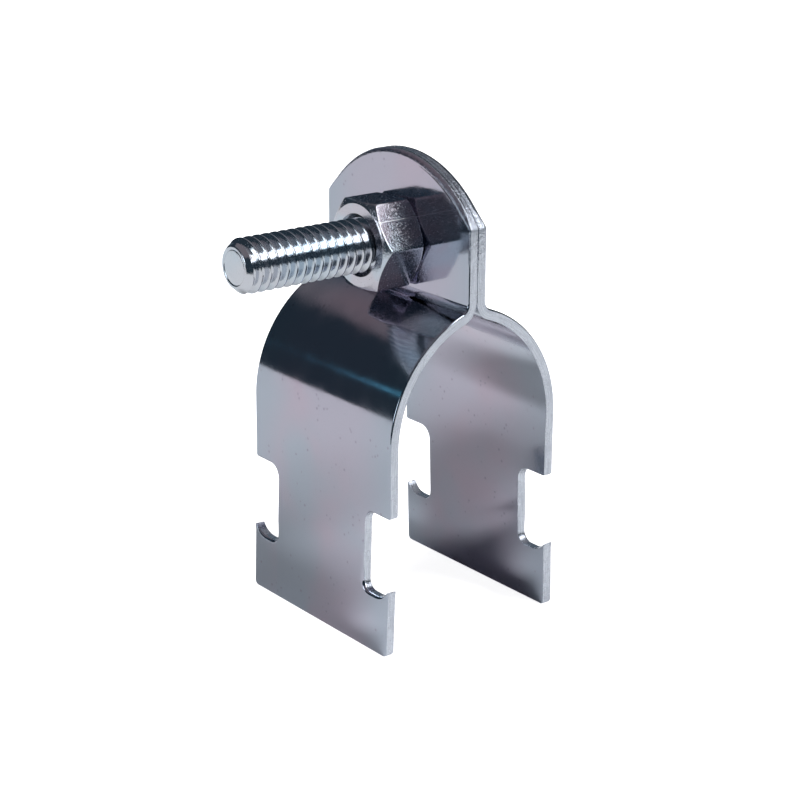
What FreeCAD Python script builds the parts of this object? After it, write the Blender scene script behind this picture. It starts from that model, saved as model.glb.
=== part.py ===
import FreeCAD, Part
import math
import os

# Conduit strut clamp: two folded sheet straps, mirror images of each other, drawn together by one
# hex head screw and a hex nut. All sizes are in millimetres.
# Frame: the origin is the centre of the conduit seat. +X runs along the screw to its head, +Y along
# the conduit, +Z up to the ears. The ears meet on the plane X = 0.

# Sheet strap: its neck fits the channel's slot, and it is wider by a notch on each side elsewhere
sheet = 1.52
neck_width = 21.0
notch_reach = 5.75

# Conduit seat: each half is an arc whose centre lies past the middle plane while the ears touch
seat_radius = 17.1
seat_offset = 3.65

# Fold from the ear to the seat, and the ear above the screw
fold_radius = 1.5
ear_reach = 12.75
ear_rise = 8.5

# Leg, which runs straight down from the seat and then flares outward to the foot
flare_start = 6.0
flare_radius = 200.0
flare_angle = 1.8

# Notches that take the channel's lips, and the hook that keeps each lip in
shoulder_depth = 9.6
notch_height = 12.1
hook_run = 2.95
hook_rise = 1.54
foot_height = 8.5
shoulder_round = 0.4
notch_top_round = 2.0
notch_bottom_round = 1.5
foot_round = 0.8

# Outer face's cut edges: the press rolls the ear's arc over and only breaks the others
ear_roll = 0.9
edge_break = 0.3

# Screw
screw_radius = 3.87
screw_length = 30.5
tip_radius = 2.95
tip_chamfer = 1.0
head_height = 5.2
driver_slot_width = 1.9
driver_slot_depth = 1.8

# Screw's thread, 18 to the inch
thread_pitch = 1.411
thread_depth = 0.77

# Hexagons of the head and the nut
hex_flats = 12.4
face_land = 0.3
chamfer_angle = 30.0
nut_height = 6.9
nut_turn = 2.0
countersink_radius = 4.5

# Clearances: screw in the straps, screw in the nut, turning hexagons above the folds
hole_clearance = 0.5
nut_clearance = 0.05
fold_clearance = 0.12

# Length that a cutting form runs past what it cuts
overrun = 5.0

half_neck = neck_width / 2
half_width = half_neck + notch_reach
valley_depth = shoulder_depth + notch_height
foot_depth = valley_depth + foot_height
outer_fold_radius = fold_radius + sheet
fold_spread = outer_fold_radius + seat_offset
fold_height = math.sqrt((seat_radius + outer_fold_radius)**2 - fold_spread**2)
hex_face_radius = hex_flats / 2 - face_land
screw_height = fold_height + hex_face_radius + fold_clearance
ear_top = screw_height + ear_reach
ear_side_top = ear_top - ear_rise

along_x = FreeCAD.Vector(1, 0, 0)
screw_place = FreeCAD.Vector(0, 0, screw_height)


def side(x, z):
    """Point in the side view, on the plane Y = 0."""
    return FreeCAD.Vector(x, 0, z)


def front(y, z):
    """Point in the view along X, on the plane X = 0."""
    return FreeCAD.Vector(0, y, z)


def round_about(centre, radius, angle):
    """Point of the side view on a circle, at an angle in degrees from +X."""
    turn = math.radians(angle)
    return centre + side(radius * math.cos(turn), radius * math.sin(turn))


def arc_about(centre, radius, first, last):
    """Arc of the side view about a centre, between two angles in degrees."""
    ends = [round_about(centre, radius, angle) for angle in (first, (first + last) / 2, last)]
    return Part.Arc(*ends).toShape()


def section_line(depth):
    """Edges of one face of the folded sheet, from above the ear to below the foot.
    Depth is the distance into the sheet from the face that meets the conduit."""
    fold_centre = side(outer_fold_radius, fold_height)
    join_angle = math.degrees(math.atan2(fold_height, fold_spread))
    ear = Part.makeLine(side(depth, ear_top + overrun), side(depth, fold_height))
    fold = arc_about(fold_centre, outer_fold_radius - depth, 180, 180 + join_angle)
    seat = arc_about(side(-seat_offset, 0), seat_radius + depth, join_angle, 0)

    leg_x = seat_radius + depth - seat_offset
    leg = Part.makeLine(side(leg_x, 0), side(leg_x, -flare_start))
    bend = flare_radius + sheet - depth
    flare_centre = side(leg_x + bend, -flare_start)
    flare = arc_about(flare_centre, bend, 180, 180 + flare_angle)
    foot_start = round_about(flare_centre, bend, 180 + flare_angle)
    drop = foot_start.z + foot_depth + overrun
    lean = drop * math.tan(math.radians(flare_angle))
    foot = Part.makeLine(foot_start, foot_start + side(lean, -drop))
    return [ear, fold, seat, leg, flare, foot]


def folded_sheet():
    """The strap's section, swept along the conduit past both sides of the strap."""
    inner = section_line(0)
    outer = section_line(sheet)
    above = Part.makeLine(side(0, ear_top + overrun), side(sheet, ear_top + overrun))
    below = Part.makeLine(inner[-1].valueAt(inner[-1].LastParameter),
                          outer[-1].valueAt(outer[-1].LastParameter))
    edges = Part.sortEdges(inner + outer + [above, below])[0]
    section = Part.Face(Part.Wire(edges))
    section.translate(FreeCAD.Vector(0, -half_width - overrun, 0))
    return section.extrude(FreeCAD.Vector(0, 2 * (half_width + overrun), 0))


def corner_arc(before, corner, after, radius):
    """Start, middle and end of the arc that rounds the corner between two straight runs."""
    back = (before - corner).normalize()
    ahead = (after - corner).normalize()
    half_turn = back.getAngle(ahead) / 2
    run = radius / math.tan(half_turn)
    inward = (back + ahead).normalize()
    middle = corner + inward * (radius / math.sin(half_turn) - radius)
    return corner + back * run, middle, corner + ahead * run


def rounded_run(start, corners, end):
    """Straight edges from start to end by way of corners, each rounded by its own radius."""
    points = [start] + [corner for corner, radius in corners] + [end]
    edges = []
    reached = start
    for index, (corner, radius) in enumerate(corners, start=1):
        arc = corner_arc(points[index - 1], corner, points[index + 1], radius)
        edges.append(Part.makeLine(reached, arc[0]))
        edges.append(Part.Arc(*arc).toShape())
        reached = arc[2]
    edges.append(Part.makeLine(reached, end))
    return edges


def hook_arc():
    """Arc of the hook that keeps a lip in the notch, from the valley's floor up to the tip."""
    half_arc = math.atan2(hook_rise, hook_run)
    radius = math.hypot(hook_run, hook_rise) / (2 * math.sin(half_arc))
    start = front(half_width - hook_run, -valley_depth)
    middle = start + front(radius * math.sin(half_arc), radius * (1 - math.cos(half_arc)))
    tip = start + front(hook_run, hook_rise)
    return Part.Arc(start, middle, tip).toShape()


def half_outline():
    """Edges of the blank on the +Y side, from the ear's corner to the middle of the foot."""
    hook = hook_arc()
    valley, tip = [vertex.Point for vertex in hook.Vertexes]
    notch = [
        (front(half_width, -shoulder_depth), shoulder_round),
        (front(half_neck, -shoulder_depth), notch_top_round),
        (front(half_neck, -valley_depth), notch_bottom_round),
    ]
    foot = [(front(half_width, -foot_depth), foot_round)]
    upper = rounded_run(front(half_width, ear_side_top), notch, valley)
    lower = rounded_run(tip, foot, front(0, -foot_depth))
    return upper + [hook] + lower


def blank_prism():
    """The blank's outline, taken straight through the folded sheet along X."""
    right = half_outline()
    left = [edge.mirror(FreeCAD.Vector(), FreeCAD.Vector(0, 1, 0)) for edge in right]
    corners = (front(half_width, ear_side_top), front(0, ear_top), front(-half_width, ear_side_top))
    edges = right + left + [Part.Arc(*corners).toShape()]
    outline = Part.Face(Part.Wire(Part.sortEdges(edges)[0]))
    outline.translate(along_x * -overrun)
    return outline.extrude(along_x * (seat_radius + sheet + 2 * overrun))


def outer_skin(strap):
    """Faces of the strap's outer side, whose normals lean to +X and have no part along Y."""
    skin = []
    for face in strap.Faces:
        u_first, u_last, v_first, v_last = face.ParameterRange
        normal = face.normalAt((u_first + u_last) / 2, (v_first + v_last) / 2)
        if normal.x > 0.2 and abs(normal.y) < 0.01:
            skin.append(face)
    return skin


def skin_border(strap):
    """Edges between the outer skin and the cut walls, and the height of each one's middle."""
    skin = outer_skin(strap)
    border = []
    for edge in strap.Edges:
        sides = sum(any(edge.isSame(other) for other in face.Edges) for face in skin)
        middle = edge.valueAt((edge.FirstParameter + edge.LastParameter) / 2)
        if sides == 1 and abs(middle.x) > sheet / 2:
            border.append((edge, middle.z))
    return border


def soften_edges(strap):
    """Roll the outer skin's edge over along the ear's arc, then break it along the rest."""
    ear = [edge for edge, height in skin_border(strap) if height > ear_side_top]
    strap = strap.makeFillet(min(ear_roll, 0.7 * sheet), ear)
    rest = [edge for edge, height in skin_border(strap) if height < ear_side_top]
    return strap.makeChamfer(min(edge_break, 0.3 * sheet), rest)


def rear_half():
    """The strap on the +X side, which carries the screw's head."""
    blank = folded_sheet().common(blank_prism())
    softened = soften_edges(blank)
    start = screw_place - along_x * overrun
    hole = Part.makeCylinder(screw_radius + hole_clearance, sheet + 2 * overrun, start, along_x)
    return softened.cut(hole).Solids[0]


def hexagon(height, turn):
    """Hexagonal prism along +X from the origin, both ends turned to a conical chamfer.
    Turn is in degrees, from a flat on top towards +Y."""
    corner_radius = hex_flats / math.sqrt(3)
    angles = [math.radians(60 * index + 30 + turn) for index in range(7)]
    corners = [front(math.sin(angle), math.cos(angle)) * corner_radius for angle in angles]
    prism = Part.Face(Part.makePolygon(corners)).extrude(along_x * height)
    rim = corner_radius + face_land
    depth = (rim - hex_face_radius) * math.tan(math.radians(chamfer_angle))
    outline = [(0, 0), (0, hex_face_radius), (depth, rim), (height - depth, rim),
               (height, hex_face_radius), (height, 0)]
    return prism.common(turned_form(outline)).Solids[0]


def turned_form(outline):
    """Solid of revolution about the X axis, from a closed outline of (x, radius) points."""
    corners = [side(x, radius) for x, radius in outline]
    face = Part.Face(Part.makePolygon(corners + corners[:1]))
    return face.revolve(FreeCAD.Vector(), along_x, 360)


def thread_outline():
    """Thread of the screw's free length as (x, radius) points, from the tip's chamfer into the nut.
    Each turn is a ring with a sharp crest. The shank hidden in the nut and the ears stays round."""
    start = tip_chamfer - screw_length
    free_length = -start - 2 * sheet - nut_height
    outline = [(start, screw_radius)]
    for turn in range(math.ceil(free_length / thread_pitch)):
        crest = start + turn * thread_pitch
        outline.append((crest + thread_pitch / 2, screw_radius - thread_depth))
        outline.append((crest + thread_pitch, screw_radius))
    return outline


def clamp_screw():
    """Hex head screw with a driver slot. The head bears on the rear ear, the tip points to -X."""
    head = hexagon(head_height, 0)
    slot = Part.makeBox(driver_slot_depth + overrun, 2 * hex_flats, driver_slot_width)
    slot.translate(FreeCAD.Vector(head_height - driver_slot_depth, -hex_flats, -driver_slot_width / 2))
    core = head_height - driver_slot_depth
    tip = [(-screw_length, 0), (-screw_length, tip_radius)]
    shank = turned_form(tip + thread_outline() + [(core / 2, screw_radius), (core / 2, 0)])
    screw = head.cut(slot).fuse(shank).removeSplitter().Solids[0]
    screw.translate(screw_place + along_x * sheet)
    return screw


def hex_nut():
    """Hex nut on the front ear. Its thread is a plain bore that clears the screw's crests."""
    bore_radius = screw_radius + nut_clearance
    sink = countersink_radius - bore_radius
    bore = turned_form([(0, 0), (0, countersink_radius), (sink, bore_radius),
                        (nut_height - sink, bore_radius), (nut_height, countersink_radius),
                        (nut_height, 0)])
    nut = hexagon(nut_height, nut_turn).cut(bore).Solids[0]
    nut.translate(screw_place - along_x * (sheet + nut_height))
    return nut


rear_strap = rear_half()
pieces = {
    "rear_strap": rear_strap,
    "front_strap": rear_strap.mirror(FreeCAD.Vector(), along_x),
    "clamp_screw": clamp_screw(),
    "hex_nut": hex_nut(),
}

os.makedirs("parts", exist_ok=True)
for node, shape in pieces.items():
    shape.exportStep("parts/" + node + ".step")
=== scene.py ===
import bmesh
import bpy
import math
import numpy as np
from mathutils import Matrix, Vector
from mathutils.geometry import delaunay_2d_cdt


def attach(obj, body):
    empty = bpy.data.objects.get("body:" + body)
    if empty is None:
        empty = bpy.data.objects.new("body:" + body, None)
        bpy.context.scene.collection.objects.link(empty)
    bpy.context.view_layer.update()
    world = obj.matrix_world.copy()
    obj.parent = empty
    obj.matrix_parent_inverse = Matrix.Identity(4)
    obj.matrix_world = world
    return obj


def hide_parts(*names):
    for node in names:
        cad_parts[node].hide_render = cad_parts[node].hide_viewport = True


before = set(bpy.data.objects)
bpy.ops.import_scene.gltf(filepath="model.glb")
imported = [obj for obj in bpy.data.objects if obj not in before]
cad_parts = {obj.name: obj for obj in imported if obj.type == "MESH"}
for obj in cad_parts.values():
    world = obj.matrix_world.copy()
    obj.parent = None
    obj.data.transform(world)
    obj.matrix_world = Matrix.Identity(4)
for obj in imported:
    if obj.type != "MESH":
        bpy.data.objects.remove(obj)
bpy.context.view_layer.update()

# Dressed conduit strut clamp. The pieces' sizes are in millimetres, as in the CAD, and become metres
# when a mesh is made. Camera, floor and materials are in metres. The frame is the CAD's: +X along the
# screw to its head, +Y along the conduit, +Z up.
MM = 0.001

# Folded strap, on its outer skin. The inner skin stops just short of the middle plane, so that the
# two ears don't share it.
SHEET = 1.52
INNER_DEPTH = 1.51
HALF_WIDTH = 16.25
HALF_NECK = 10.5
FOLD_RADIUS = 1.5
FOLD_HEIGHT = 18.982
SEAT_RADIUS = 18.62
SEAT_OFFSET = 3.65
FLARE_START = 6.0
FLARE_RADIUS = 200.0
FLARE_ANGLE = math.radians(1.8)
SCREW_HEIGHT = 25.0022
EAR_TOP = 37.7522
EAR_SIDE_TOP = 29.2522
SHOULDER_DEPTH = 9.6
VALLEY_DEPTH = 21.7
HOOK_RUN = 2.95
HOOK_RISE = 1.54
FOOT_DEPTH = 30.2
HOLE_RADIUS = 4.37

# Corner radii of the blank. The hook's arc ends at this many half arcs, short of the tip at 2.
SHOULDER_ROUND = 0.4
NOTCH_ROUND = 2.0
VALLEY_ROUND = 1.5
HOOK_TIP_ROUND = 0.12
FOOT_ROUND = 0.8
HOOK_SWEEP = 1.7

# Radii to which the press rolled the edges over. The ear's share is on top of the common one, and
# grows between two heights over the ear's straight side.
EDGE_ROLL = 0.26
EAR_ROLL = 0.62
EAR_ROLL_RISE = (-0.2, 2.4)
ROLL_SMOOTHINGS = 3
# The valley's roll reaches this far up the neck, below the valley, into the neck and towards the tip
VALLEY_ROLL = 0.5
VALLEY_ROLL_RISE = 3.0
VALLEY_ROLL_SINK = 0.2
VALLEY_ROLL_SLACK = 0.1
VALLEY_ROLL_STOP = 0.7
# The hook's tip stays sharp, and the roll grows again between two distances from it
HOOK_TIP_ROLL = 0.08
HOOK_TIP_GAIN = 0.42
HOOK_TIP_SPAN = (0.3, 2.0)
HOOK_TIP_REACH = 3.0
# Breaks at the inner skin
INNER_BREAK = 0.1
FRACTURE_INSET = 0.04
# Rings down the sheared face, as depth in shares of the sheet, inset in shares of the fracture's, and
# lean as in edge_profile
CUT_RINGS = ((0.50, 0.0, 1.0), (0.58, 0.6, 1.05), (0.92, 1.0, 1.0))

# Fineness of the strap's mesh. The fold's steps go on for a margin past each of its ends, and the
# grid inside the blank keeps clear of its borders.
EAR_POINTS = 60
HOOK_POINTS = 12
RUN_ABOVE_FOLD = 25.0
RUN_PAST_FLARE = 40.0
RUN_STEPS = 6000
FOLD_MARGIN = 0.3
FOLD_STEP = 0.16
EDGE_STEP = 0.4
FLAT_STEP = 0.9
LEG_STEP = 0.8
GRID_FROM = -19.0
GRID_SIDE = 15.9
GRID_PAST_FLARE = 26.0
GRID_AFTER_FOLD = 0.5
GRID_CLEAR = 0.3
GRID_CLEAR_IN_FOLD = 0.1
GRID_CLEAR_OF_HOLE = 0.6
HOLE_SIDES = 96
ROLL_RINGS = 6
CDT_TOUCHES = 1e-6
HOLE_MARGIN = 0.01

# Screw and nut
THREAD_RADIUS = 3.87
THREAD_PITCH = 1.41111
THREAD_DEPTH = 0.78
THREAD_SHIFT = 0.56
TIP_X = -28.98
TIP_RADIUS = 3.05
TIP_EDGE = 0.18
TIP_SLOPE = 0.86
# Cupped end face, as (depth, radius)
TIP_FACE = [(0.12, 0.0), (0.10, 1.3), (0.05, 2.30), (0.11, 2.42), (0.03, 2.52), (0.0, 2.68),
            (0.03, 2.86), (0.10, 2.98)]
HEAD_X = SHEET
HEAD_HEIGHT = 5.2
SHANK_IN_HEAD = 0.3
SLOT_WIDTH = 1.9
SLOT_DEPTH = 1.8
NUT_HEIGHT = 6.9
NUT_X = -SHEET - NUT_HEIGHT
NUT_TURN = 2.0
HEX_APOTHEM = 6.2
HEX_WEAR_POWER = 90
HEX_CHAMFER = math.radians(30)
FACE_RADIUS = 5.9
FACE_ROUND = 0.1
CHAMFER_ROUND = 0.12
FLAT_SUPPORT = 0.3
BORE_RADIUS = 3.92
SINK_RADIUS = 4.5
# Hidden hollow in the head's underside, as (depth, radius)
HEAD_HOLLOW = [(0, 2.6), (0.2, 0.0), (HEAD_HEIGHT, 0.0)]
THREAD_COLUMNS = 144
HEX_COLUMNS = 240
SHARP_ANGLE = 32.0
THREAD_SHARP_ANGLE = 50.0
WELD_GAP = 0.002
COLLAPSED_EDGE = 0.001

# Thread's profile, in shares of the pitch from a crest: the flank runs between the first two
CREST_SHARE = 0.06
ROOT_SHARE = 0.375
BEND_SHARE = 0.012
ROWS_TO_ROOT = [0, 0.035, 0.05, 0.06, 0.07, 0.09, 0.14, 0.22, 0.30, 0.345, 0.365, 0.375, 0.385, 0.41,
                0.46]

# Line left along one flat by the drawing die, as its angle about the screw from the top. Its lighter
# colour is a painted highlight, standing for the light that the line's ridge catches.
DIE_LINE_AND_HIGHLIGHT_ANGLE = math.radians(49.5)
LINE_ROUGHNESS = 0.6

# Camera, solved from the photograph. Angles are in radians, lens and sensor in millimetres.
CAMERA_PLACE = (-0.17096, -0.216755, 0.093848)
CAMERA_AZIMUTH = -0.6662
CAMERA_ELEVATION = 0.3261
CAMERA_ROLL = 0.0075
CAMERA_LENS = 89.87
CAMERA_SENSOR = 36.0
CAMERA_NEAR = 0.005

FLOOR_Z = -FOOT_DEPTH * MM
FLOOR_NEAR = -0.155
FLOOR_REACH = 6.0


class Nodes:
    """Short calls for building one node tree."""

    def __init__(self, tree):
        self.tree = tree
        tree.nodes.clear()

    def add(self, kind, *inputs, **props):
        node = self.tree.nodes.new(kind)
        for name, value in props.items():
            setattr(node, name, value)
        for key, value in inputs:
            socket = node.inputs[key]
            if isinstance(value, bpy.types.NodeSocket):
                self.tree.links.new(value, socket)
            else:
                socket.default_value = value
        return node

    def math(self, operation, *values):
        return self.add("ShaderNodeMath", *enumerate(values), operation=operation).outputs[0]

    def ramp(self, value, low, high, out_low=0.0, out_high=1.0):
        node = self.add("ShaderNodeMapRange", ("Value", value), ("From Min", low), ("From Max", high),
                        ("To Min", out_low), ("To Max", out_high), interpolation_type="SMOOTHSTEP")
        return node.outputs[0]

    def mix(self, factor, first, second):
        node = self.add("ShaderNodeMix", ("Factor", factor), (6, first), (7, second), data_type="RGBA")
        return node.outputs[2]

    def noise(self, coords, scale, detail=2.0, roughness=0.5):
        node = self.add("ShaderNodeTexNoise", ("Vector", coords), ("Scale", scale),
                        ("Detail", detail), ("Roughness", roughness))
        return node.outputs["Fac"]

    def bump(self, height, distance, normal=None):
        inputs = [("Height", height), ("Distance", distance), ("Strength", 1.0)]
        if normal is not None:
            inputs.append(("Normal", normal))
        return self.add("ShaderNodeBump", *inputs).outputs[0]

    def object_coords(self):
        return self.add("ShaderNodeTexCoord").outputs["Object"]

    def edge_place(self):
        """The straps' edge_place attribute: along the edge, across it, and 1 where it is torn."""
        return self.add("ShaderNodeAttribute", attribute_name="edge_place").outputs["Vector"]

    def finish_metal(self, color, roughness, normal):
        shader = self.add("ShaderNodeBsdfPrincipled", ("Base Color", color), ("Metallic", 1.0),
                          ("Roughness", roughness), ("Normal", normal))
        self.add("ShaderNodeOutputMaterial", ("Surface", shader.outputs[0]))


def rgb(red, green, blue):
    return (red, green, blue, 1.0)


def new_material(name):
    material = bpy.data.materials.new(name)
    material.use_nodes = True
    return material, Nodes(material.node_tree)


def make_piece(name, points, faces, body, node, materials, face_slots=None, normals=None):
    """A mesh in metres from points in millimetres, riding on a CAD body in a node's place."""
    mesh = bpy.data.meshes.new(name)
    mesh.from_pydata([Vector(point) * MM for point in points], [], faces)
    mesh.validate()
    for material in materials:
        mesh.materials.append(material)
    if face_slots is not None:
        mesh.polygons.foreach_set("material_index", face_slots)
    mesh.shade_smooth()
    if normals is not None:
        mesh.normals_split_custom_set_from_vertices(normals)
    piece = bpy.data.objects.new(name, mesh)
    bpy.context.scene.collection.objects.link(piece)
    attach(piece, body)
    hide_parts(node)
    return piece


def rounded_path(corners, steps=6):
    """Open path through (point, radius) corners, each rounded by its radius."""
    path = [np.array(corners[0][0], float)]
    for index in range(1, len(corners) - 1):
        corner, radius = np.array(corners[index][0], float), corners[index][1]
        if radius == 0:
            path.append(corner)
            continue
        back = np.array(corners[index - 1][0], float) - corner
        ahead = np.array(corners[index + 1][0], float) - corner
        back /= np.linalg.norm(back)
        ahead /= np.linalg.norm(ahead)
        half = math.acos(np.clip(back @ ahead, -1, 1)) / 2
        run = radius / math.tan(half)
        centre = corner + (back + ahead) / np.linalg.norm(back + ahead) * radius / math.sin(half)
        start, end = corner + back * run - centre, corner + ahead * run - centre
        turn = math.pi - 2 * half
        for step in range(steps + 1):
            share = step / steps
            blend = start * math.sin((1 - share) * turn) + end * math.sin(share * turn)
            path.append(centre + blend / math.sin(turn))
    path.append(np.array(corners[-1][0], float))
    return path


# A strap is drawn flat, by (run, y) places. The run goes down the outer skin from the fold's start.
JOIN_ANGLE = math.atan2(FOLD_HEIGHT, SHEET + FOLD_RADIUS + SEAT_OFFSET)
FOLD_END = FOLD_RADIUS * JOIN_ANGLE
SEAT_END = FOLD_END + SEAT_RADIUS * JOIN_ANGLE
LEG_END = SEAT_END + FLARE_START
FLARE_END = LEG_END + FLARE_RADIUS * FLARE_ANGLE
HOLE_RUN = FOLD_HEIGHT - SCREW_HEIGHT


def skin(run):
    """Points (x, z) and normals (x, z) of the outer skin, by the run in mm down from the fold."""
    run = np.asarray(run, float)
    fold = np.clip(run, 0, FOLD_END) / FOLD_RADIUS
    seat = JOIN_ANGLE - (np.clip(run, FOLD_END, SEAT_END) - FOLD_END) / SEAT_RADIUS
    flare = (np.clip(run, LEG_END, FLARE_END) - LEG_END) / FLARE_RADIUS
    zones = [run < 0, run < FOLD_END, run < SEAT_END, run < LEG_END]
    ones, zeros = np.ones_like(run), np.zeros_like(run)
    leg_x = SEAT_RADIUS - SEAT_OFFSET
    past = np.clip(run - FLARE_END, 0, None)
    flare_x = leg_x + FLARE_RADIUS * (1 - np.cos(flare)) + past * math.sin(FLARE_ANGLE)
    flare_z = -FLARE_START - FLARE_RADIUS * np.sin(flare) - past * math.cos(FLARE_ANGLE)
    x = np.select(zones, [SHEET * ones, SHEET + FOLD_RADIUS * (1 - np.cos(fold)),
                          SEAT_RADIUS * np.cos(seat) - SEAT_OFFSET, leg_x * ones], flare_x)
    z = np.select(zones, [FOLD_HEIGHT - run, FOLD_HEIGHT - FOLD_RADIUS * np.sin(fold),
                          SEAT_RADIUS * np.sin(seat), SEAT_END - run], flare_z)
    normal_x = np.select(zones, [ones, np.cos(fold), np.cos(seat), ones], np.cos(flare))
    normal_z = np.select(zones, [zeros, np.sin(fold), np.sin(seat), zeros], np.sin(flare))
    return x, z, normal_x, normal_z


RUN_TABLE = np.linspace(-RUN_ABOVE_FOLD, FLARE_END + RUN_PAST_FLARE, RUN_STEPS)
HEIGHT_TABLE = skin(RUN_TABLE)[1]


def run_at(height):
    """Run down the outer skin at which it has this height."""
    return np.interp(-np.asarray(height, float), -HEIGHT_TABLE, RUN_TABLE)


def half_blank():
    """Blank's outline on the +Y side as (y, z) points, from the ear's top to the foot's middle."""
    rise = EAR_TOP - EAR_SIDE_TOP
    radius = (HALF_WIDTH**2 + rise**2) / (2 * rise)
    reach = math.asin(HALF_WIDTH / radius)
    ear = [(radius * math.sin(a), EAR_TOP - radius * (1 - math.cos(a)))
           for a in np.linspace(0, reach, EAR_POINTS)]
    half_arc = math.atan2(HOOK_RISE, HOOK_RUN)
    hook_radius = math.hypot(HOOK_RUN, HOOK_RISE) / (2 * math.sin(half_arc))
    hook = [(HALF_WIDTH - HOOK_RUN + hook_radius * math.sin(a),
             -VALLEY_DEPTH + hook_radius * (1 - math.cos(a)))
            for a in np.linspace(0, HOOK_SWEEP * half_arc, HOOK_POINTS)]
    corners = [(ear[-1], 0), ((HALF_WIDTH, -SHOULDER_DEPTH), SHOULDER_ROUND),
               ((HALF_NECK, -SHOULDER_DEPTH), NOTCH_ROUND), ((HALF_NECK, -VALLEY_DEPTH), VALLEY_ROUND)]
    corners += [(point, 0) for point in hook]
    corners += [((HALF_WIDTH, -VALLEY_DEPTH + HOOK_RISE), HOOK_TIP_ROUND),
                ((HALF_WIDTH, -FOOT_DEPTH), FOOT_ROUND), ((0, -FOOT_DEPTH), 0)]
    return np.array(ear[:-1] + rounded_path(corners))


def subdivide(loop):
    """Closed loop of (run, y) points, divided so that no side is long, least of all in the fold."""
    points = []
    for start, end in zip(loop, np.roll(loop, -1, axis=0)):
        middle = (start[0] + end[0]) / 2
        limit = FOLD_STEP if -FOLD_MARGIN < middle < FOLD_END + FOLD_MARGIN else EDGE_STEP
        steps = max(1, math.ceil(np.linalg.norm(end - start) / limit))
        for step in range(steps):
            points.append(start + (end - start) * step / steps)
    return np.array(points)


def split_at_fold(loop):
    """Adds points where the loop enters and leaves the fold."""
    points = []
    for start, end in zip(loop, np.roll(loop, -1, axis=0)):
        points.append(start)
        low, high = min(start[0], end[0]), max(start[0], end[0])
        marks = [mark for mark in (-FOLD_MARGIN, FOLD_END + FOLD_MARGIN) if low < mark < high]
        for mark in sorted(marks, reverse=bool(start[0] > end[0])):
            points.append(start + (end - start) * (mark - start[0]) / (end[0] - start[0]))
    return np.array(points)


def blank_loop():
    """Blank's whole outline as a counterclockwise loop of (run, y) points."""
    half = half_blank()
    loop = np.concatenate([half[:-1], (half * (-1, 1))[::-1][:-1]])
    loop = np.column_stack([run_at(loop[:, 1]), loop[:, 0]])
    loop = subdivide(split_at_fold(loop))
    area = np.sum(loop[:, 0] * np.roll(loop[:, 1], -1) - np.roll(loop[:, 0], -1) * loop[:, 1])
    return loop[::-1] if area < 0 else loop


def hole_loop():
    """Screw's hole in the ear as a clockwise loop of (run, y) points."""
    turns = np.linspace(0, -2 * math.pi, HOLE_SIDES + 1)[:-1]
    return np.column_stack([HOLE_RUN + HOLE_RADIUS * np.cos(turns), HOLE_RADIUS * np.sin(turns)])


def outward(loop):
    """Unit normals of a loop, away from the sheet, and how far corners stretch an inset."""
    ahead = np.roll(loop, -1, axis=0) - loop
    ahead /= np.linalg.norm(ahead, axis=1)[:, None]
    back = np.roll(ahead, 1, axis=0)
    normal = np.column_stack([ahead[:, 1] + back[:, 1], -ahead[:, 0] - back[:, 0]])
    normal /= np.linalg.norm(normal, axis=1)[:, None]
    spread = normal[:, 0] * ahead[:, 1] - normal[:, 1] * ahead[:, 0]
    return normal, np.clip(1 / spread, 1, 2)


def smooth_step(value, low, high):
    share = np.clip((value - low) / (high - low), 0, 1)
    return share * share * (3 - 2 * share)


def edge_roll(loop):
    """Radius to which the press rolled the outer edge over, all along the blank's outline."""
    run, y = loop[:, 0], np.abs(loop[:, 1])
    low, high = (-run_at(EAR_SIDE_TOP) + rise for rise in EAR_ROLL_RISE)
    roll = EDGE_ROLL + EAR_ROLL * smooth_step(-run, low, high)
    valley = run_at(-VALLEY_DEPTH)
    low_down = (run > valley - VALLEY_ROLL_RISE) & (run < valley + VALLEY_ROLL_SINK)
    in_notch = (y > HALF_NECK - VALLEY_ROLL_SLACK) & (y < HALF_WIDTH - VALLEY_ROLL_STOP)
    roll[low_down & in_notch] = VALLEY_ROLL
    for _ in range(ROLL_SMOOTHINGS):
        roll = (np.roll(roll, 1) + roll + np.roll(roll, -1)) / 3
    tip = np.hypot(run - run_at(-VALLEY_DEPTH + HOOK_RISE), y - HALF_WIDTH)
    near_tip = HOOK_TIP_ROLL + HOOK_TIP_GAIN * smooth_step(tip, *HOOK_TIP_SPAN)
    return np.where(tip > HOOK_TIP_REACH, roll, np.minimum(roll, near_tip))


def edge_profile(roll):
    """Inset, depth and lean of each ring over a cut edge, from the outer skin to the inner one.
    Lean is the normal's turn, 0 along the outer skin's normal and 2 along the inner skin's."""
    rings = []
    for turn in np.linspace(0, 1, ROLL_RINGS):
        angle = turn * math.pi / 2
        rings.append((roll * (1 - math.sin(angle)), roll * (1 - math.cos(angle)), turn))
    inner_break = np.minimum(INNER_BREAK, 0.5 * roll)
    fracture = np.minimum(FRACTURE_INSET, 0.25 * roll)
    for depth, share, lean in CUT_RINGS:
        rings.append((share * fracture, 0 * roll + depth * SHEET, lean))
    rings.append((fracture + 0.3 * inner_break, INNER_DEPTH - 0.3 * inner_break, 1.5))
    rings.append((fracture + inner_break, 0 * roll + INNER_DEPTH, 2.0))
    return rings


def strap_point(run, y, depth):
    x, z, normal_x, normal_z = skin(run)
    return np.column_stack([x - depth * normal_x, y, np.maximum(z - depth * normal_z, -FOOT_DEPTH)])


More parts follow.
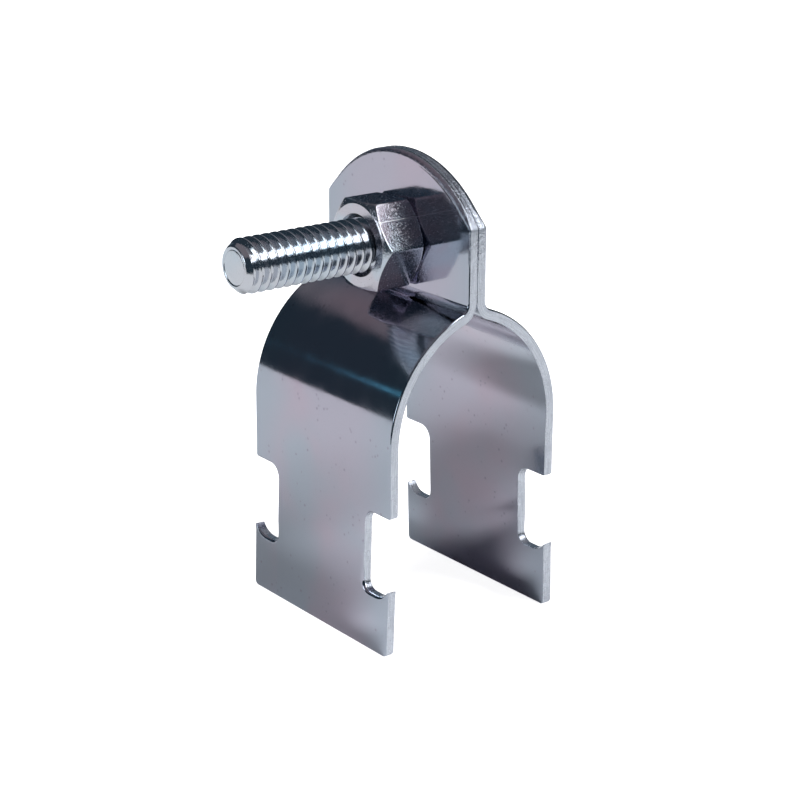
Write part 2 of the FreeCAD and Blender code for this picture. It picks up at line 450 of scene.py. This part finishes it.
def edge_rings(loop):
    """Rings of points, normals, flat (run, y) places and depths over the cut edge along a loop."""
    normal, stretch = outward(loop)
    rings = []
    for inset, depth, lean in edge_profile(edge_roll(loop)):
        flat = loop - normal * (inset * stretch)[:, None]
        points = strap_point(flat[:, 0], flat[:, 1], depth)
        _, _, skin_x, skin_z = skin(flat[:, 0])
        zero = np.zeros(len(loop))
        skin_normal = np.column_stack([skin_x, zero, skin_z])
        along = np.column_stack([skin_z, zero, -skin_x]) * normal[:, :1]
        side = along + np.column_stack([zero, normal[:, 1], zero])
        angle = lean * math.pi / 2
        rings.append((points, math.cos(angle) * skin_normal + math.sin(angle) * side, flat, depth))
    return rings


def inside(loop, place):
    """Whether a place lies inside a closed loop."""
    y0, y1 = loop[:, 1], np.roll(loop[:, 1], -1)
    x0, x1 = loop[:, 0], np.roll(loop[:, 0], -1)
    crosses = (y0 > place[1]) != (y1 > place[1])
    safe = np.where(crosses, y1 - y0, 1.0)
    reach = x0 + (place[1] - y0) / safe * (x1 - x0)
    return bool(np.sum(crosses & (reach > place[0])) % 2)


def grid_points(borders):
    """Places inside the blank, on even lines, kept off its outline and its hole."""
    in_fold_runs = np.arange(-FOLD_MARGIN, FOLD_END + FOLD_MARGIN, FOLD_STEP)
    leg_runs = np.arange(FOLD_END + GRID_AFTER_FOLD, FLARE_END + GRID_PAST_FLARE, LEG_STEP)
    runs = np.concatenate([np.arange(GRID_FROM, -FOLD_MARGIN, FLAT_STEP), in_fold_runs, leg_runs])
    across = np.arange(-GRID_SIDE, GRID_SIDE + FLAT_STEP / 2, FLAT_STEP)
    border = np.concatenate(borders)
    keep = []
    for place in np.array([(run, y) for run in runs for y in across]):
        in_fold = -FOLD_MARGIN <= place[0] <= FOLD_END + FOLD_MARGIN
        clear = GRID_CLEAR_IN_FOLD if in_fold else GRID_CLEAR
        near_border = np.min(np.hypot(*(border - place).T)) < clear
        near_hole = math.hypot(place[0] - HOLE_RUN, place[1]) < HOLE_RADIUS + GRID_CLEAR_OF_HOLE
        if not near_border and not near_hole and inside(borders[0], place):
            keep.append(place)
    return np.array(keep)


# Material slots of a strap's faces
SKIN_SLOT = 0
CUT_SLOT = 1

# The ear's edge begins to be torn this far above the fold, and is wholly torn from the second height
# up, between two depths in the sheet
TORN_FROM = 4.0
TORN_FULL = 9.0
TORN_DEPTHS = (0.01, 0.95 * SHEET)

# Sheared edge's fine lines, as noise units per mm along the edge and across it
LINES_ALONG = 0.25
LINES_ACROSS = 9.0


class StrapMesh:
    """Points, normals, edge places, faces and their material slots of the rear strap."""

    def __init__(self):
        self.points, self.normals, self.edge_places = [], [], []
        self.faces, self.face_slots = [], []
        outline, hole = blank_loop(), hole_loop()
        torn = smooth_step(-outline[:, 0], TORN_FROM, TORN_FULL)
        borders = [self.add_edge(outline, torn), self.add_edge(hole, np.zeros(len(hole)))]
        self.add_skin(borders, 0, 0.0)
        self.add_skin(borders, -1, INNER_DEPTH)

    def add_points(self, points, normals, edge_places):
        first = len(self.points)
        self.points.extend(points)
        self.normals.extend(normals)
        self.edge_places.extend(edge_places)
        return first

    def add_edge(self, edge, torn):
        """Cut edge along a loop. Returns each ring's flat places and its first point's number."""
        along = np.concatenate([[0], np.cumsum(np.hypot(*np.diff(edge, axis=0).T))])
        border = []
        for points, normals, flat, depth in edge_rings(edge):
            torn_here = torn * (depth > TORN_DEPTHS[0]) * (depth < TORN_DEPTHS[1])
            places = np.column_stack([LINES_ALONG * along, LINES_ACROSS * depth, torn_here])
            border.append((flat, self.add_points(points, normals, places)))
        starts = [start for _, start in border]
        for level, (upper, lower) in enumerate(zip(starts, starts[1:])):
            for here in range(len(edge)):
                there = (here + 1) % len(edge)
                self.faces.append((upper + here, lower + here, lower + there, upper + there))
                self.face_slots.append(CUT_SLOT if level >= ROLL_RINGS - 2 else SKIN_SLOT)
        return border

    def add_skin(self, borders, side, depth):
        """Outer skin (side 0) or inner skin (side -1) between the borders' rings on that side."""
        grid = grid_points([border[side][0] for border in borders])
        _, _, skin_x, skin_z = skin(grid[:, 0])
        sign = 1 if side == 0 else -1
        normals = sign * np.column_stack([skin_x, np.zeros(len(grid)), skin_z])
        points = strap_point(grid[:, 0], grid[:, 1], depth)
        first = self.add_points(points, normals, np.zeros((len(grid), 3)))
        places, edges, number = [], [], []
        for flat, start in (border[side] for border in borders):
            base, count = len(places), len(flat)
            places += [Vector(place) for place in flat]
            number += range(start, start + count)
            edges += [(base + index, base + (index + 1) % count) for index in range(count)]
        places += [Vector(place) for place in grid]
        number += range(first, first + len(grid))
        self.add_triangles(delaunay_2d_cdt(places, edges, [], 1, CDT_TOUCHES), number, side)

    def add_triangles(self, parted, number, side):
        """Triangles of a parted skin, apart from those that fill the hole."""
        spots, triangles, origins = parted[0], parted[2], parted[3]
        for triangle in triangles:
            centre = sum((spots[index] for index in triangle), Vector((0, 0))) / len(triangle)
            if math.hypot(centre.x - HOLE_RUN, centre.y) < HOLE_RADIUS - HOLE_MARGIN:
                continue
            ring = [number[origins[index][0]] for index in triangle]
            self.faces.append(tuple(ring if side == 0 else ring[::-1]))
            self.face_slots.append(SKIN_SLOT)


def make_straps(materials):
    """Both straps. The front one mirrors the rear one."""
    strap = StrapMesh()
    points, normals = np.array(strap.points), np.array(strap.normals)
    rear = make_piece("rear_strap_sheet", points, strap.faces, "rear_half", "rear_strap",
                      materials, strap.face_slots, normals)
    flip = np.array([-1, 1, 1])
    turned = [tuple(reversed(face)) for face in strap.faces]
    front = make_piece("front_strap_sheet", points * flip, turned, "front_half", "front_strap",
                       materials, strap.face_slots, normals * flip)
    for piece in (rear, front):
        places = piece.data.attributes.new("edge_place", "FLOAT_VECTOR", "POINT")
        places.data.foreach_set("vector", np.array(strap.edge_places).ravel())


def weld(piece, angle=SHARP_ANGLE):
    """Joins doubled points, drops collapsed faces and marks the sharp edges."""
    work = bmesh.new()
    work.from_mesh(piece.data)
    bmesh.ops.remove_doubles(work, verts=work.verts, dist=WELD_GAP * MM)
    bmesh.ops.dissolve_degenerate(work, edges=work.edges, dist=COLLAPSED_EDGE * MM)
    bmesh.ops.recalc_face_normals(work, faces=work.faces)
    work.to_mesh(piece.data)
    work.free()
    piece.data.shade_smooth()
    piece.data.set_sharp_from_angle(angle=math.radians(angle))


def soft_step(value, low, high, soft):
    """Straight ramp from 0 to 1 with short rounded corners."""
    def bend(run):
        return (run + math.hypot(run, soft)) / 2
    return (bend(value - low) - bend(value - high)) / (high - low)


def thread_radius(share):
    """Radius of the thread at a share of its pitch from a crest, -0.5 to 0.5."""
    return THREAD_RADIUS - THREAD_DEPTH * soft_step(abs(share), CREST_SHARE, ROOT_SHARE, BEND_SHARE)


def threaded_shank():
    """Points and faces of the thread from the tip to under the head. The last column of points
    falls on the first, one turn on, and is welded to it."""
    shares = ROWS_TO_ROOT + [0.5] + [1 - share for share in ROWS_TO_ROOT[:0:-1]]
    start = TIP_X - 1.5 * THREAD_PITCH + THREAD_SHIFT
    end = HEAD_X + SHANK_IN_HEAD
    turns = math.ceil((end - start) / THREAD_PITCH) + 1
    points = []
    for column in range(THREAD_COLUMNS + 1):
        lead = column / THREAD_COLUMNS
        rows = [(TIP_X + x, radius) for x, radius in TIP_FACE]
        for turn in range(turns):
            for share in shares:
                x = start + THREAD_PITCH * (turn + share + lead)
                x = min(max(x, TIP_X + TIP_EDGE), end)
                place = ((x - start) / THREAD_PITCH - lead + 0.5) % 1 - 0.5
                cone = TIP_RADIUS + (x - TIP_X - TIP_EDGE) * TIP_SLOPE
                rows.append((x, min(thread_radius(place), cone)))
        rows.append((end, 0.0))
        angle = 2 * math.pi * lead
        points += [(x, radius * math.cos(angle), SCREW_HEIGHT + radius * math.sin(angle))
                   for x, radius in rows]
    height = len(points) // (THREAD_COLUMNS + 1)
    faces = [(here, here + 1, here + height + 1, here + height)
             for column in range(THREAD_COLUMNS)
             for here in range(column * height, (column + 1) * height - 1)]
    return points, faces


def hexagon_radius(angle):
    """Radius of a hexagon with worn corners, by the angle from the middle of a flat."""
    reach = sum(max(0.0, math.cos(angle - k * math.pi / 3)) ** HEX_WEAR_POWER for k in range(6))
    return HEX_APOTHEM / reach ** (1 / HEX_WEAR_POWER)


def hex_form(place_x, height, turn, inner):
    """Points and faces of a chamfered hexagon. Inner gives its bore's (x, radius) corners."""
    points = []
    for column in range(HEX_COLUMNS):
        angle = 2 * math.pi * column / HEX_COLUMNS
        radius = hexagon_radius(angle)
        drop = (radius - FACE_RADIUS) * math.tan(HEX_CHAMFER)
        outer = [((0, FACE_RADIUS), FACE_ROUND), ((drop, radius), CHAMFER_ROUND),
                 ((drop + FLAT_SUPPORT, radius), 0), ((height - drop - FLAT_SUPPORT, radius), 0),
                 ((height - drop, radius), CHAMFER_ROUND), ((height, FACE_RADIUS), FACE_ROUND)]
        path = rounded_path([(inner[0], 0)] + outer + [(inner[-1], 0)], steps=4)
        path += [np.array(corner, float) for corner in inner[-2:0:-1]]
        around = angle + math.radians(turn)
        points += [(place_x + x, -r * math.sin(around), SCREW_HEIGHT + r * math.cos(around))
                   for x, r in path]
    rows = len(points) // HEX_COLUMNS
    faces = []
    for column in range(HEX_COLUMNS):
        here, there = column * rows, (column + 1) % HEX_COLUMNS * rows
        for row in range(rows):
            following = (row + 1) % rows
            faces.append((here + row, there + row, there + following, here + following))
    return points, faces


def make_screw(thread_zinc, hexagon_zinc):
    points, faces = threaded_shank()
    shank = make_piece("screw_thread", points, faces, "screw", "clamp_screw",
                       [thread_zinc])
    weld(shank, THREAD_SHARP_ANGLE)
    points, faces = hex_form(HEAD_X, HEAD_HEIGHT, 0, HEAD_HOLLOW)
    head = make_piece("screw_head", points, faces, "screw", "clamp_screw",
                      [hexagon_zinc])
    weld(head)
    cut_slot(head)


def cut_slot(head):
    """Cuts the driver slot across the head."""
    bpy.ops.mesh.primitive_cube_add(size=1)
    cutter = bpy.context.object
    cutter.scale = (2 * SLOT_DEPTH * MM, 3 * HEX_APOTHEM * MM, SLOT_WIDTH * MM)
    cutter.location = ((HEAD_X + HEAD_HEIGHT) * MM, 0, SCREW_HEIGHT * MM)
    bpy.context.view_layer.update()
    cut = head.modifiers.new("slot", "BOOLEAN")
    cut.operation = "DIFFERENCE"
    cut.solver = "EXACT"
    cut.object = cutter
    bpy.context.view_layer.update()
    shaped = bpy.data.meshes.new_from_object(head.evaluated_get(bpy.context.evaluated_depsgraph_get()))
    head.modifiers.clear()
    head.data = shaped
    bpy.data.objects.remove(cutter)
    head.data.set_sharp_from_angle(angle=math.radians(SHARP_ANGLE))


def make_nut(hexagon_zinc):
    sink = 2 * (SINK_RADIUS - BORE_RADIUS)
    bore = [(0, SINK_RADIUS), (sink, BORE_RADIUS), (NUT_HEIGHT - sink, BORE_RADIUS),
            (NUT_HEIGHT, SINK_RADIUS)]
    points, faces = hex_form(NUT_X, NUT_HEIGHT, -NUT_TURN, bore)
    nut = make_piece("nut_body", points, faces, "nut", "hex_nut", [hexagon_zinc])
    weld(nut)


# Colours of the zinc
SKIN_BLUE = rgb(0.485, 0.475, 0.56)
SKIN_PINK = rgb(0.515, 0.455, 0.54)
SKIN_COOL = rgb(0.43, 0.48, 0.555)
SKIN_PIT = rgb(0.35, 0.34, 0.41)
CUT_DARK = rgb(0.52, 0.56, 0.63)
CUT_LIGHT = rgb(0.72, 0.77, 0.84)
THREAD_BLUE = rgb(0.57, 0.65, 0.72)
THREAD_GREY = rgb(0.62, 0.65, 0.70)
HEXAGON_BLUE = rgb(0.55, 0.62, 0.69)
HEXAGON_GREY = rgb(0.59, 0.58, 0.64)
# The die's line, painted lighter than the zinc: a painted highlight for the light its ridge catches
DIE_LINE_AND_HIGHLIGHT = rgb(0.80, 0.80, 0.84)

# The skin turns cooler between these distances from the strap's middle line, in metres, once a share
# of the drift that clouds over the skin is added to the distance
SIDE_COOL = (0.013, 0.023)
SIDE_DRIFT = 0.014

# Heights of the bumps, in metres
SKIN_WAVE = 0.00005
SKIN_GRAIN = 0.000003
CUT_GRAIN = 0.00001
THREAD_GRAIN = 0.000012
HEXAGON_GRAIN = 0.00002
TORN_FLECKS = 0.00016


def skin_color(nodes, coords):
    """Bluish and pinkish zinc, cooler towards the strap's sides and in clouds, with a few pits."""
    warm = nodes.ramp(nodes.noise(coords, scale=55.0), low=0.42, high=0.62)
    color = nodes.mix(warm, SKIN_BLUE, SKIN_PINK)
    cool = nodes.ramp(nodes.noise(coords, scale=38.0, detail=3.0), low=0.5, high=0.68)
    side = nodes.math("ABSOLUTE", nodes.add("ShaderNodeSeparateXYZ", (0, coords)).outputs[1])
    drift = nodes.math("MULTIPLY", nodes.noise(coords, scale=60.0), SIDE_DRIFT)
    rim = nodes.ramp(nodes.math("ADD", side, drift), *SIDE_COOL)
    color = nodes.mix(nodes.math("MAXIMUM", rim, cool), color, SKIN_COOL)
    cells = nodes.add("ShaderNodeTexVoronoi", ("Vector", coords), ("Scale", 950.0)).outputs["Distance"]
    rare = nodes.ramp(nodes.noise(coords, scale=500.0, detail=1.0), low=0.54, high=0.64)
    pit = nodes.ramp(cells, low=0.05, high=0.3, out_low=1.0, out_high=0.0)
    return nodes.mix(nodes.math("MULTIPLY", pit, rare), color, SKIN_PIT)


def sheet_material():
    material, nodes = new_material("zinc_sheet_skin")
    coords = nodes.object_coords()
    color = skin_color(nodes, coords)
    rough = nodes.noise(coords, scale=240.0, detail=4.0)
    rough = nodes.ramp(rough, low=0.3, high=0.75, out_low=0.08, out_high=0.15)
    wave = nodes.bump(nodes.noise(coords, scale=70.0, detail=1.0), SKIN_WAVE)
    grain = nodes.bump(nodes.noise(coords, scale=2600.0, detail=3.0), SKIN_GRAIN, wave)
    nodes.finish_metal(color, rough, torn_edge(nodes, coords, grain))
    return material


def torn_edge(nodes, coords, normal):
    """Flecked surface of the ear's top edge, where the edge_place attribute's third value is 1."""
    torn = nodes.add("ShaderNodeSeparateXYZ", (0, nodes.edge_place())).outputs[2]
    flecks = nodes.noise(coords, scale=1500.0, detail=4.0, roughness=0.7)
    return nodes.bump(nodes.math("MULTIPLY", torn, flecks), TORN_FLECKS, normal)


def cut_material():
    """Sheared edge, with fine lines along it."""
    material, nodes = new_material("zinc_sheet_cut")
    coords = nodes.object_coords()
    lines = nodes.noise(nodes.edge_place(), scale=1.0, detail=3.0, roughness=0.6)
    grain = nodes.noise(coords, scale=900.0, detail=3.0)
    marks = nodes.math("ADD", nodes.math("MULTIPLY", lines, 0.75), nodes.math("MULTIPLY", grain, 0.25))
    color = nodes.mix(nodes.ramp(marks, low=0.4, high=0.62), CUT_DARK, CUT_LIGHT)
    normal = torn_edge(nodes, coords, nodes.bump(marks, CUT_GRAIN))
    rough = nodes.ramp(grain, low=0.3, high=0.7, out_low=0.22, out_high=0.32)
    nodes.finish_metal(color, rough, normal)
    return material


def thread_material():
    material, nodes = new_material("zinc_thread")
    coords = nodes.object_coords()
    tint = nodes.ramp(nodes.noise(coords, scale=160.0), low=0.35, high=0.65)
    color = nodes.mix(tint, THREAD_BLUE, THREAD_GREY)
    grain = nodes.noise(coords, scale=1900.0, detail=3.0)
    rough = nodes.ramp(grain, low=0.3, high=0.7, out_low=0.11, out_high=0.2)
    nodes.finish_metal(color, rough, nodes.bump(grain, THREAD_GRAIN))
    return material


def die_line_and_highlight(nodes, coords):
    """Share of the die's line, painted lighter as a highlight where its ridge catches the light, by
    the angle about the screw.
    """
    split = nodes.add("ShaderNodeSeparateXYZ", (0, coords))
    rise = nodes.math("SUBTRACT", split.outputs[2], SCREW_HEIGHT * MM)
    around = nodes.math("ARCTAN2", nodes.math("MULTIPLY", split.outputs[1], -1.0), rise)
    off = nodes.math("ABSOLUTE", nodes.math("SUBTRACT", around, DIE_LINE_AND_HIGHLIGHT_ANGLE))
    return nodes.ramp(off, low=0.004, high=0.016, out_low=0.6, out_high=0.0)


def hex_material():
    material, nodes = new_material("zinc_hexagon")
    coords = nodes.object_coords()
    tint = nodes.ramp(nodes.noise(coords, scale=200.0), low=0.4, high=0.6)
    line_and_highlight = die_line_and_highlight(nodes, coords)
    # Lighter along the die's line: a painted highlight over the real mark
    color = nodes.mix(line_and_highlight, nodes.mix(tint, HEXAGON_BLUE, HEXAGON_GREY), DIE_LINE_AND_HIGHLIGHT)
    speckle = nodes.noise(coords, scale=3600.0, detail=3.0, roughness=0.6)
    rough = nodes.ramp(speckle, low=0.35, high=0.7, out_low=0.14, out_high=0.28)
    rough = nodes.math("MAXIMUM", rough, nodes.math("MULTIPLY", line_and_highlight, LINE_ROUGHNESS))
    nodes.finish_metal(color, rough, nodes.bump(speckle, HEXAGON_GRAIN))
    return material


def point_camera():
    """Camera at the place and with the aim of the photograph's."""
    camera = bpy.data.objects.new("camera", bpy.data.cameras.new("camera"))
    azimuth, elevation = CAMERA_AZIMUTH, CAMERA_ELEVATION
    back = Vector((math.sin(azimuth) * math.cos(elevation), -math.cos(azimuth) * math.cos(elevation),
                   math.sin(elevation)))
    right = Vector((math.cos(azimuth), math.sin(azimuth), 0))
    up = back.cross(right)
    across = math.cos(CAMERA_ROLL) * right + math.sin(CAMERA_ROLL) * up
    above = math.cos(CAMERA_ROLL) * up - math.sin(CAMERA_ROLL) * right
    axes = Matrix((across, above, back)).transposed().to_4x4()
    camera.matrix_world = Matrix.Translation(CAMERA_PLACE) @ axes
    camera.data.sensor_width = CAMERA_SENSOR
    camera.data.lens = CAMERA_LENS
    camera.data.clip_start = CAMERA_NEAR
    bpy.context.scene.collection.objects.link(camera)
    bpy.context.scene.camera = camera


# Floor's paper, as the metal shows it and as everything else does, and its glow to the camera
PAPER = rgb(0.76, 0.76, 0.77)
PAPER_IN_METAL = rgb(0.84, 0.84, 0.85)
PAPER_GLOW = 0.9


def lay_floor():
    """A pale sheet whose near edge lies in front of the clamp, and which runs far behind it."""
    turn = Matrix.Rotation(CAMERA_AZIMUTH, 4, "Z")
    corners = [turn @ Vector((x, y, FLOOR_Z)) for x, y in
               ((-FLOOR_REACH, FLOOR_NEAR), (FLOOR_REACH, FLOOR_NEAR),
                (FLOOR_REACH, FLOOR_REACH), (-FLOOR_REACH, FLOOR_REACH))]
    mesh = bpy.data.meshes.new("floor")
    mesh.from_pydata(corners, [], [(0, 1, 2, 3)])
    floor = bpy.data.objects.new("floor", mesh)
    bpy.context.scene.collection.objects.link(floor)
    mesh.materials.append(floor_material())


def floor_material():
    material, nodes = new_material("floor_paper")
    light_path = nodes.add("ShaderNodeLightPath")
    shade = nodes.mix(light_path.outputs["Is Glossy Ray"], PAPER, PAPER_IN_METAL)
    paper = nodes.add("ShaderNodeBsdfDiffuse", ("Color", shade))
    glow = nodes.add("ShaderNodeEmission", ("Color", rgb(1, 1, 1)), ("Strength", PAPER_GLOW))
    seen = nodes.add("ShaderNodeAddShader", (0, paper.outputs[0]), (1, glow.outputs[0]))
    surface = nodes.add("ShaderNodeMixShader", (0, light_path.outputs["Is Camera Ray"]),
                        (1, paper.outputs[0]), (2, seen.outputs[0]))
    nodes.add("ShaderNodeOutputMaterial", ("Surface", surface.outputs[0]))
    return material


# Studio that the metal reflects: a dark wall, a paler ceiling from a height in degrees up, and soft
# panels given by azimuth, elevation, half width, half height and softness in degrees, and colour
WALL = rgb(0.026, 0.040, 0.054)
CEILING = rgb(0.21, 0.185, 0.20)
CEILING_FROM = (35.5, 38.5)
PANELS = [
    (52, 20, 34, 17, 8, (0.12, 0.15, 0.18)),
    (0, 64, 62, 22, 8, (0.26, 0.26, 0.28)),
    (-45, 36, 9, 9, 4, (0.40, 0.34, 0.40)),
    (-30, 39, 8, 10, 2, (2.1, 2.1, 2.15)),
    (-65, 43, 11.5, 16, 1.2, (6.6, 6.7, 6.9)),
    (172, 12, 12, 8, 1.2, (2.6, 2.8, 3.0)),
    (129.7, 15.6, 0.7, 1.3, 0.5, (0.26, 0.90, 1.25)),
]
# Share of the studio's light that falls on matt surfaces, which the lamps light instead
STUDIO_ON_MATT = 0.15


def studio_box(nodes, axes, azimuth, elevation, half_width, half_height, soft):
    """Share of a soft rectangular light, by direction. Angles are in degrees."""
    x, y, z = axes
    turn = math.radians(azimuth)
    ahead = nodes.math("ADD", nodes.math("MULTIPLY", x, math.cos(turn)),
                       nodes.math("MULTIPLY", y, math.sin(turn)))
    aside = nodes.math("SUBTRACT", nodes.math("MULTIPLY", y, math.cos(turn)),
                       nodes.math("MULTIPLY", x, math.sin(turn)))
    off = nodes.math("ABSOLUTE", nodes.math("ARCTAN2", aside, ahead))
    tall = nodes.math("ABSOLUTE", nodes.math("SUBTRACT", nodes.math("ARCSINE", z),
                                             math.radians(elevation)))
    width, height, edge = (math.radians(value) for value in (half_width, half_height, soft))
    return nodes.math("MULTIPLY", nodes.ramp(off, width - edge, width + edge, 1, 0),
                      nodes.ramp(tall, height - edge, height + edge, 1, 0))


def light_studio():
    """World that the metal reflects, white to the camera, and the lamps that light the floor."""
    world = bpy.data.worlds.new("studio")
    bpy.context.scene.world = world
    world.use_nodes = True
    nodes = Nodes(world.node_tree)
    direction = nodes.add("ShaderNodeTexCoord").outputs["Generated"]
    split = nodes.add("ShaderNodeSeparateXYZ", (0, direction))
    axes = [split.outputs[index] for index in range(3)]
    height = nodes.math("ARCSINE", axes[2])
    ceiling = nodes.ramp(height, *(math.radians(value) for value in CEILING_FROM))
    color = nodes.mix(ceiling, WALL, CEILING)
    for azimuth, elevation, half_width, half_height, soft, shade in PANELS:
        share = studio_box(nodes, axes, azimuth, elevation, half_width, half_height, soft)
        color = nodes.mix(share, color, rgb(*shade))
    light_path = nodes.add("ShaderNodeLightPath")
    color = nodes.mix(light_path.outputs["Is Camera Ray"], color, rgb(1, 1, 1))
    level = nodes.ramp(light_path.outputs["Is Diffuse Ray"], low=0, high=1, out_low=1.0,
                       out_high=STUDIO_ON_MATT)
    background = nodes.add("ShaderNodeBackground", ("Color", color), ("Strength", level))
    nodes.add("ShaderNodeOutputWorld", ("Surface", background.outputs[0]))
    hang_lamp("key", strength=1.95, width=18, azimuth=-56, elevation=47)
    hang_lamp("fill", strength=1.75, width=16, azimuth=176, elevation=40)


def hang_lamp(name, strength, width, azimuth, elevation):
    """A far lamp that spans an angle of the sky, seen from its azimuth and elevation in degrees."""
    lamp = bpy.data.objects.new(name, bpy.data.lights.new(name, "SUN"))
    lamp.data.energy = strength
    lamp.data.angle = math.radians(width)
    turn, rise = math.radians(azimuth), math.radians(elevation)
    toward = Vector((math.cos(rise) * math.cos(turn), math.cos(rise) * math.sin(turn), math.sin(rise)))
    lamp.rotation_euler = toward.to_track_quat("Z", "Y").to_euler()
    lamp.visible_glossy = False
    bpy.context.scene.collection.objects.link(lamp)


bpy.context.scene.view_settings.view_transform = "Standard"
point_camera()
lay_floor()
light_studio()
make_straps([sheet_material(), cut_material()])
hexagon = hex_material()
make_screw(thread_material(), hexagon)
make_nut(hexagon)
